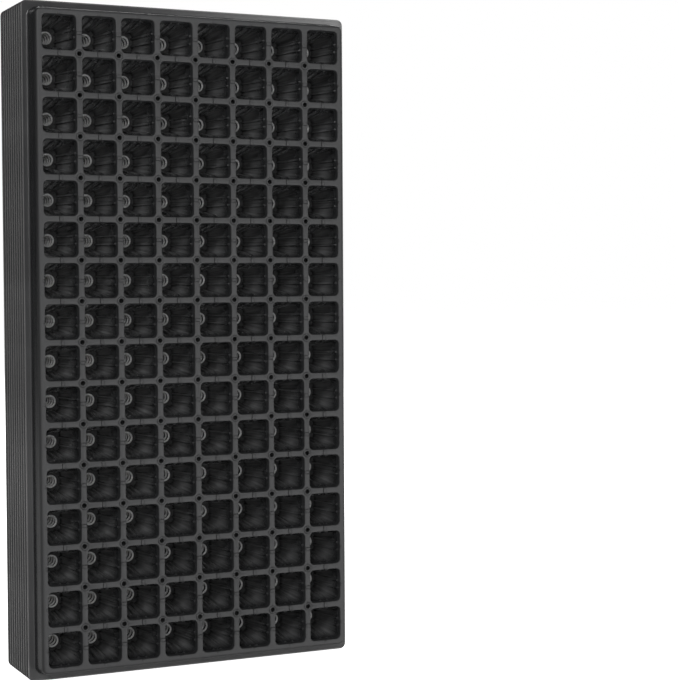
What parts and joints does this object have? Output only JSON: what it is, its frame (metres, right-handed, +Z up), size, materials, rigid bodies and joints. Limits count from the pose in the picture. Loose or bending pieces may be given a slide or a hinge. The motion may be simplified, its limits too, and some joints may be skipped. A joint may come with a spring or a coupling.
{
  "type": "plug tray",
  "caption": "Nested stack of black plastic plug trays with square tapered cells, drain holes and a stepped rim with a flat lip, standing on a short edge.",
  "frame": {"origin": "on the floor, under the middle of the stack's width and depth, as it stands on a short edge", "axes": "+X across the eight columns, to the right for someone who faces the open cells; +Y from the open cells towards the cell floors; +Z up, along the sixteen rows"},
  "size_m": [0.28, 0.1012, 0.54],
  "materials": {
    "black_plastic": "satin black thermoformed sheet with a fine, slightly uneven moulded surface"
  },
  "bodies": {
    "front_tray": {"front_tray": "black_plastic"},
    "nested_tray_02": {"nested_tray_02": "black_plastic"},
    "nested_tray_03": {"nested_tray_03": "black_plastic"},
    "nested_tray_04": {"nested_tray_04": "black_plastic"},
    "nested_tray_05": {"nested_tray_05": "black_plastic"},
    "nested_tray_06": {"nested_tray_06": "black_plastic"},
    "nested_tray_07": {"nested_tray_07": "black_plastic"},
    "nested_tray_08": {"nested_tray_08": "black_plastic"},
    "nested_tray_09": {"nested_tray_09": "black_plastic"},
    "rear_tray": {"rear_tray": "black_plastic"}
  },
  "joints": [
    {"name": "front_tray_lift_off", "type": "slide", "parent": "nested_tray_02", "child": "front_tray", "axis": [0, -1, 0], "range_m": [0, 0.06]},
    {"name": "nested_tray_02_lift_off", "type": "slide", "parent": "nested_tray_03", "child": "nested_tray_02", "axis": [0, -1, 0], "range_m": [0, 0.06]},
    {"name": "nested_tray_03_lift_off", "type": "slide", "parent": "nested_tray_04", "child": "nested_tray_03", "axis": [0, -1, 0], "range_m": [0, 0.06]},
    {"name": "nested_tray_04_lift_off", "type": "slide", "parent": "nested_tray_05", "child": "nested_tray_04", "axis": [0, -1, 0], "range_m": [0, 0.06]},
    {"name": "nested_tray_05_lift_off", "type": "slide", "parent": "nested_tray_06", "child": "nested_tray_05", "axis": [0, -1, 0], "range_m": [0, 0.06]},
    {"name": "nested_tray_06_lift_off", "type": "slide", "parent": "nested_tray_07", "child": "nested_tray_06", "axis": [0, -1, 0], "range_m": [0, 0.06]},
    {"name": "nested_tray_07_lift_off", "type": "slide", "parent": "nested_tray_08", "child": "nested_tray_07", "axis": [0, -1, 0], "range_m": [0, 0.06]},
    {"name": "nested_tray_08_lift_off", "type": "slide", "parent": "nested_tray_09", "child": "nested_tray_08", "axis": [0, -1, 0], "range_m": [0, 0.06]},
    {"name": "nested_tray_09_lift_off", "type": "slide", "parent": "rear_tray", "child": "nested_tray_09", "axis": [0, -1, 0], "range_m": [0, 0.06]}
  ]
}
